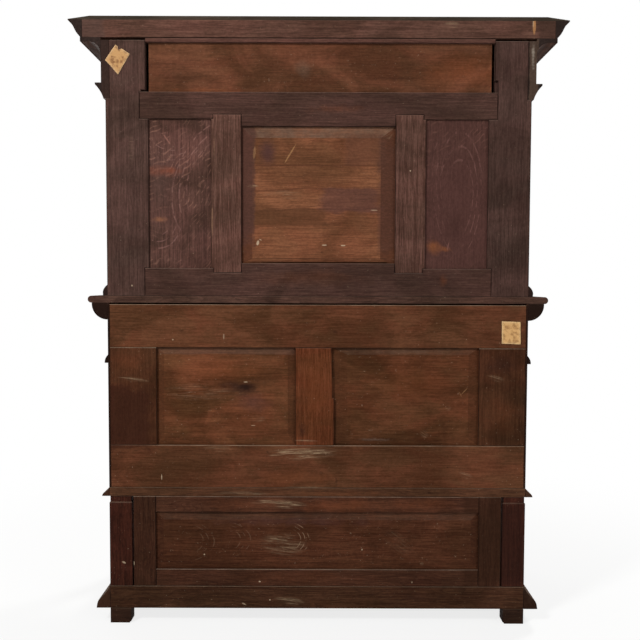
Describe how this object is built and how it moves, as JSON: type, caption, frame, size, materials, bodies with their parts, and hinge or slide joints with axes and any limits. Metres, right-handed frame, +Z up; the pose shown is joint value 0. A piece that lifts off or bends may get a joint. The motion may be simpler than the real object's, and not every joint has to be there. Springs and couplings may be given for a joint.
{
  "type": "mirror-back sideboard",
  "caption": "Oak sideboard on an open stand with pot board, drawers over panelled doors, and a mirror back under a canopy with a moulded cornice.",
  "frame": {"origin": "centre of the bounding box in plan, on the floor under the feet", "axes": "+Z up; -Y out of the front with drawers and doors, +Y out of the back; +X to the right as seen from the front"},
  "size_m": [1.634, 0.565, 2.014],
  "materials": {
    "dark_oak": "dark stained and waxed",
    "carcase_oak": "dark stained, dusty",
    "polished_oak": "stained and polished",
    "rayed_oak": "quarter-sawn, stained",
    "stained_pine": "stained, unpolished",
    "backboard_pine": "stained, unpolished",
    "raw_pine": "bare, aged",
    "aged_brass": "aged, satin",
    "mirror_glass": "silvered and bevelled"
  },
  "bodies": {
    "carcase": {"feet": "dark_oak", "plinth_rails": "carcase_oak", "pot_board": "polished_oak", "plinth_moulding": "dark_oak", "rear_posts": "dark_oak", "front_legs": "polished_oak", "stand_back_frame": "carcase_oak", "stand_back_panel": "polished_oak", "case_base_rails": "dark_oak", "case_floor": "raw_pine", "case_end_frames": "polished_oak", "case_end_panels": "polished_oak", "case_front_frame": "polished_oak", "case_back_frame": "stained_pine", "case_back_muntin": "stained_pine", "case_back_panels": "stained_pine", "dust_board": "raw_pine", "drawer_guides": "raw_pine", "cupboard_shelf": "raw_pine", "shelf_bearers": "raw_pine", "string_moulding": "dark_oak", "case_hinge_leaves": "aged_brass", "quarter_round_moulding": "dark_oak", "sideboard_top": "carcase_oak", "mirror_back_stiles": "carcase_oak", "mirror_back_rails": "carcase_oak", "mirror_back_muntins": "carcase_oak", "oak_side_panels": "rayed_oak", "mirror_backboard": "backboard_pine", "mirror_glass": "mirror_glass", "mirror_moulding": "dark_oak", "mirror_foot_moulding": "carcase_oak", "columns": "polished_oak", "frieze_back_panel": "stained_pine", "frieze_batten": "carcase_oak", "frieze_boards": "polished_oak", "canopy_soffit": "polished_oak", "necking_moulding": "dark_oak", "bed_moulding": "dark_oak", "cornice_ground": "raw_pine", "cornice_back_board": "carcase_oak", "crown_moulding": "dark_oak", "cornice_top_board": "carcase_oak"},
    "drawer_left": {"drawer_left_front": "polished_oak", "drawer_left_box": "raw_pine", "drawer_left_bottom": "raw_pine", "drawer_left_knobs": "dark_oak"},
    "drawer_right": {"drawer_right_front": "polished_oak", "drawer_right_box": "raw_pine", "drawer_right_bottom": "raw_pine", "drawer_right_knobs": "dark_oak"},
    "door_left": {"door_left_frame": "polished_oak", "door_left_panel": "polished_oak", "door_left_knob": "aged_brass", "door_left_hinge_leaves": "aged_brass"},
    "door_right": {"door_right_frame": "polished_oak", "door_right_panel": "polished_oak", "door_right_knob": "aged_brass", "door_right_hinge_leaves": "aged_brass"}
  },
  "joints": [
    {"name": "drawer_left_slide", "type": "slide", "parent": "carcase", "child": "drawer_left", "axis": [0, -1, 0], "range_m": [0, 0.3]},
    {"name": "drawer_right_slide", "type": "slide", "parent": "carcase", "child": "drawer_right", "axis": [0, -1, 0], "range_m": [0, 0.3]},
    {"name": "door_left_swing", "type": "hinge", "parent": "carcase", "child": "door_left", "pos_m": [-0.6195, -0.2223, 0.69], "axis": [0, 0, -1], "range_deg": [0, 110]},
    {"name": "door_right_swing", "type": "hinge", "parent": "carcase", "child": "door_right", "pos_m": [0.6195, -0.2223, 0.69], "axis": [0, 0, 1], "range_deg": [0, 110]}
  ]
}
